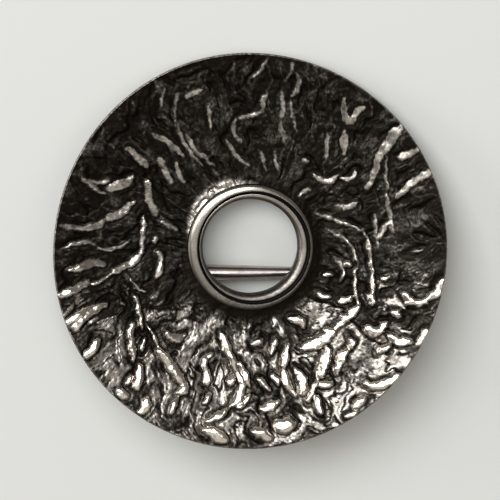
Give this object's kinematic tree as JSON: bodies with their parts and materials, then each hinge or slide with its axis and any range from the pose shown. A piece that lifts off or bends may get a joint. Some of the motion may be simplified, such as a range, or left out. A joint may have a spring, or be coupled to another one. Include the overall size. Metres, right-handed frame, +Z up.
{
  "type": "silver disc brooch",
  "caption": "Round dished silver brooch with a crinkled oxidised face, a ringed hole in the middle and a hinged pin behind.",
  "frame": {"origin": "middle of the footprint, on the surface that the brooch lies on, face up", "axes": "+Z up; +Y towards the top of the face, whose rim touches the surface; +X to the right of the face, from the hinge to the catch"},
  "size_m": [0.0448, 0.044, 0.0125],
  "materials": {
    "oxidised_silver": "crinkled silver, blackened in its valleys and rubbed bright on its ridges",
    "polished_silver": "polished silver, a little tarnished"
  },
  "bodies": {
    "brooch": {"brooch_disc": "oxidised_silver", "hinge_rivet": "polished_silver"},
    "pin": {"pin_stem": "polished_silver"}
  },
  "joints": [
    {"name": "pin_swing", "type": "hinge", "parent": "brooch", "child": "pin", "pos_m": [-0.01516, -0.00421, 0.00171], "axis": [0, 0.9675, -0.2529], "range_deg": [0, 85]}
  ]
}
